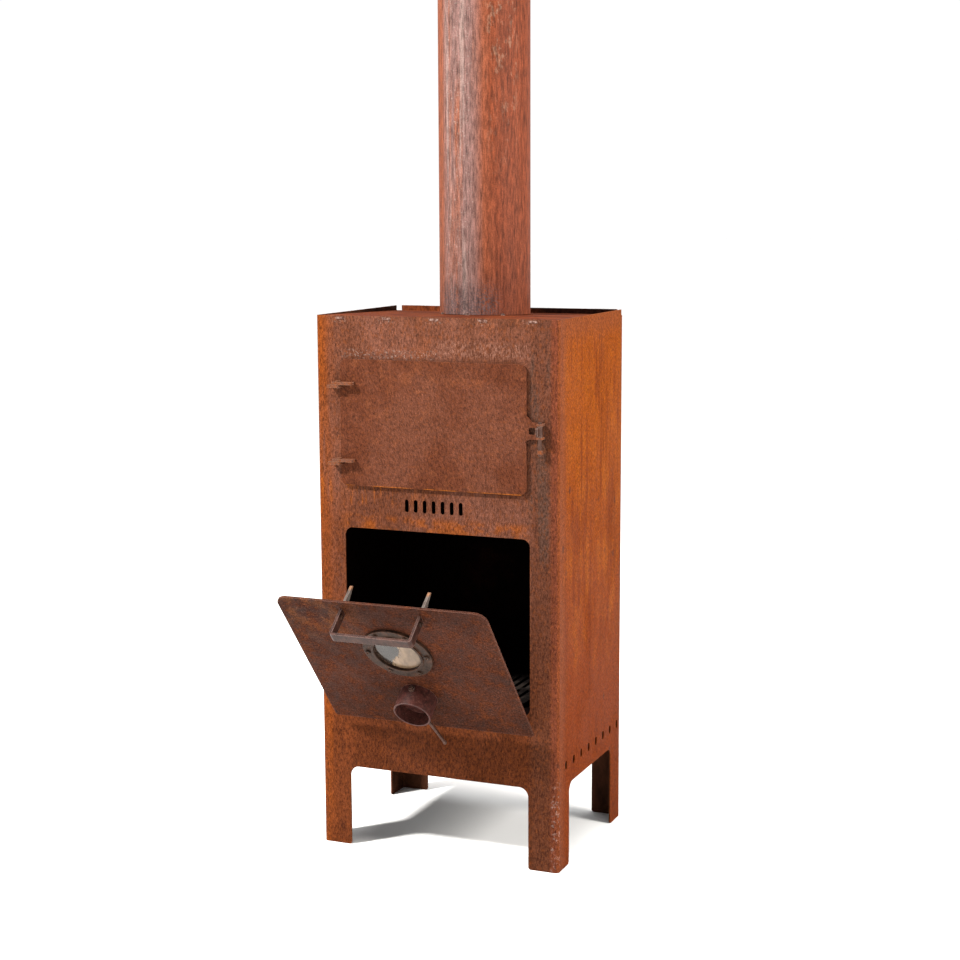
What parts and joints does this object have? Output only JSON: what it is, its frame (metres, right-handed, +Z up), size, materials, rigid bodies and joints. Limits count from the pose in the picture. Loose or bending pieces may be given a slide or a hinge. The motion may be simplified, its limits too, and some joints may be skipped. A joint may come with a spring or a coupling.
{
  "type": "chiminea",
  "caption": "Tall rust-brown steel garden oven on four legs: tilt-out fire door with a round window and air tube, an oven door above and a round chimney.",
  "frame": {"origin": "on the floor, under the centre of the body's rectangular footprint", "axes": "+Z up along the chimney, -Y towards the front with the doors, +X to the right seen from the front"},
  "size_m": [0.48, 0.6358, 2.12],
  "materials": {
    "corten_body": "weathering steel, matt rust with vertical streaks",
    "corten_top": "weathering steel, fine orange rust",
    "corten_pipe": "weathering steel, rust with grey mill scale",
    "corten_upper_door": "weathering steel, purplish brown",
    "corten_lower_door": "weathering steel, dark mottled brown with worn edges",
    "corten_tube": "weathering steel, dark maroon",
    "corten_small": "weathering steel, brown",
    "worn_steel": "handled steel, satin brown with bare edges",
    "dark_fasteners": "dark oxidised steel",
    "inner_steel": "sooty rust",
    "cast_grate": "rough casting",
    "rack_wire": "dull steel wire",
    "fireclay": "matt fireclay",
    "window_glass": "smoke-stained heatproof glass",
    "rope_seal": "woven fibre seal"
  },
  "bodies": {
    "stove": {"body_shell": "corten_body", "rear_panel": "corten_body", "top_plate": "corten_top", "tack_welds": "worn_steel", "chimney_collar": "inner_steel", "chimney_pipe": "corten_pipe", "pipe_welds": "worn_steel", "upper_hinge_body_tabs": "corten_small", "upper_hinge_pins": "corten_small", "latch_ears": "corten_small", "lower_hinge_rod": "inner_steel", "lower_hinge_ears": "inner_steel", "lower_hinge_collars": "inner_steel", "bottom_plate": "inner_steel", "ash_tray": "inner_steel", "firebox_floor": "inner_steel", "fire_grate": "cast_grate", "heat_shield": "inner_steel", "heat_shield_spacers": "inner_steel", "oven_support_angles": "inner_steel", "oven_floor": "inner_steel", "oven_casing": "inner_steel", "oven_back": "inner_steel", "baking_stone": "fireclay", "rack_rails": "inner_steel", "cooking_rack": "rack_wire"},
    "upper_door": {"upper_door_plate": "corten_upper_door", "upper_hinge_door_tabs": "corten_small"},
    "latch": {"latch_spindle": "worn_steel", "latch_flag": "worn_steel", "latch_grip": "corten_small"},
    "lower_door": {"lower_door_plate": "corten_lower_door", "door_handle": "worn_steel", "handle_screws": "dark_fasteners", "window_ring": "dark_fasteners", "window_glass": "window_glass", "window_gasket": "rope_seal", "window_back_ring": "dark_fasteners", "window_bolts": "dark_fasteners", "window_nuts": "dark_fasteners", "air_inlet_tube": "corten_tube", "lower_hinge_arms": "corten_small"},
    "damper": {"damper_disc": "corten_tube", "damper_spindle": "worn_steel", "damper_collars": "worn_steel"}
  },
  "joints": [
    {"name": "upper_door_swing", "type": "hinge", "parent": "stove", "child": "upper_door", "pos_m": [-0.188, -0.1925, 0.8155], "axis": [0, 0, -1], "range_deg": [0, 150]},
    {"name": "latch_turn", "type": "hinge", "parent": "stove", "child": "latch", "pos_m": [0.208, -0.188, 0.815], "axis": [0, 0, -1], "range_deg": [0, 90]},
    {"name": "lower_door_swing", "type": "hinge", "parent": "stove", "child": "lower_door", "pos_m": [0, -0.1675, 0.2517], "axis": [1, 0, 0], "range_deg": [-40, 0]},
    {"name": "damper_turn", "type": "hinge", "parent": "lower_door", "child": "damper", "pos_m": [0, -0.2646, 0.32387], "axis": [0, 0.6428, -0.766], "range_deg": [0, 90]}
  ]
}
